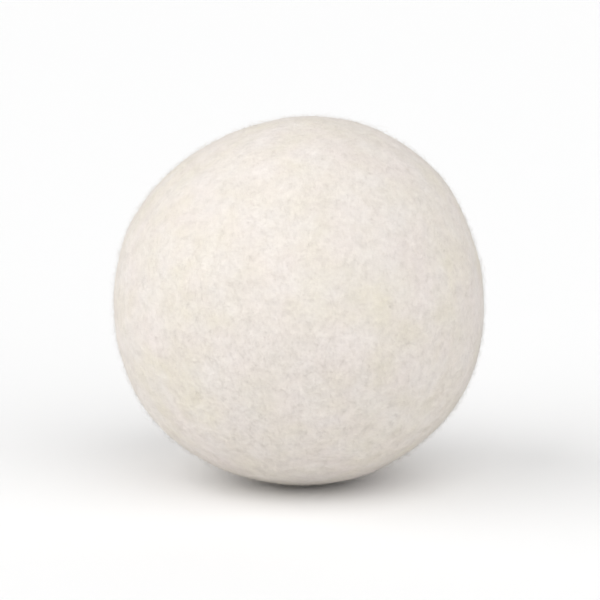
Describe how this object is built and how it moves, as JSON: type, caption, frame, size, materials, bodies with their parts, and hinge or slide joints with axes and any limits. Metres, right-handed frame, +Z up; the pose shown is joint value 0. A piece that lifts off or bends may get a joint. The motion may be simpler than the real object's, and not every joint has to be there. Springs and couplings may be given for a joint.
{
  "type": "wool dryer ball",
  "caption": "Felted wool ball that tumbles with laundry in a dryer, built as a rolled core, crossed wool wraps and a fine felted skin.",
  "frame": {"origin": "on the surface that the ball rests on, under the middle of its box", "axes": "+Z up from the resting flat; +X to the right and -Y towards a viewer who sees the flat beside the top at upper left"},
  "size_m": [0.07, 0.07, 0.069],
  "materials": {
    "coarse_wool": "matte, coarse carded wool",
    "wool_batting": "matte, carded wool felted hard",
    "fine_felt": "matte off-white felt with a short soft nap"
  },
  "bodies": {
    "root": {"core_roll": "coarse_wool", "inner_wrap_lengthwise": "wool_batting", "inner_wrap_crosswise": "wool_batting", "middle_wrap_lengthwise": "wool_batting", "middle_wrap_crosswise": "wool_batting", "outer_wrap_lengthwise": "wool_batting", "outer_wrap_crosswise": "wool_batting", "fine_skin": "fine_felt", "closing_wisp": "fine_felt"}
  },
  "joints": []
}
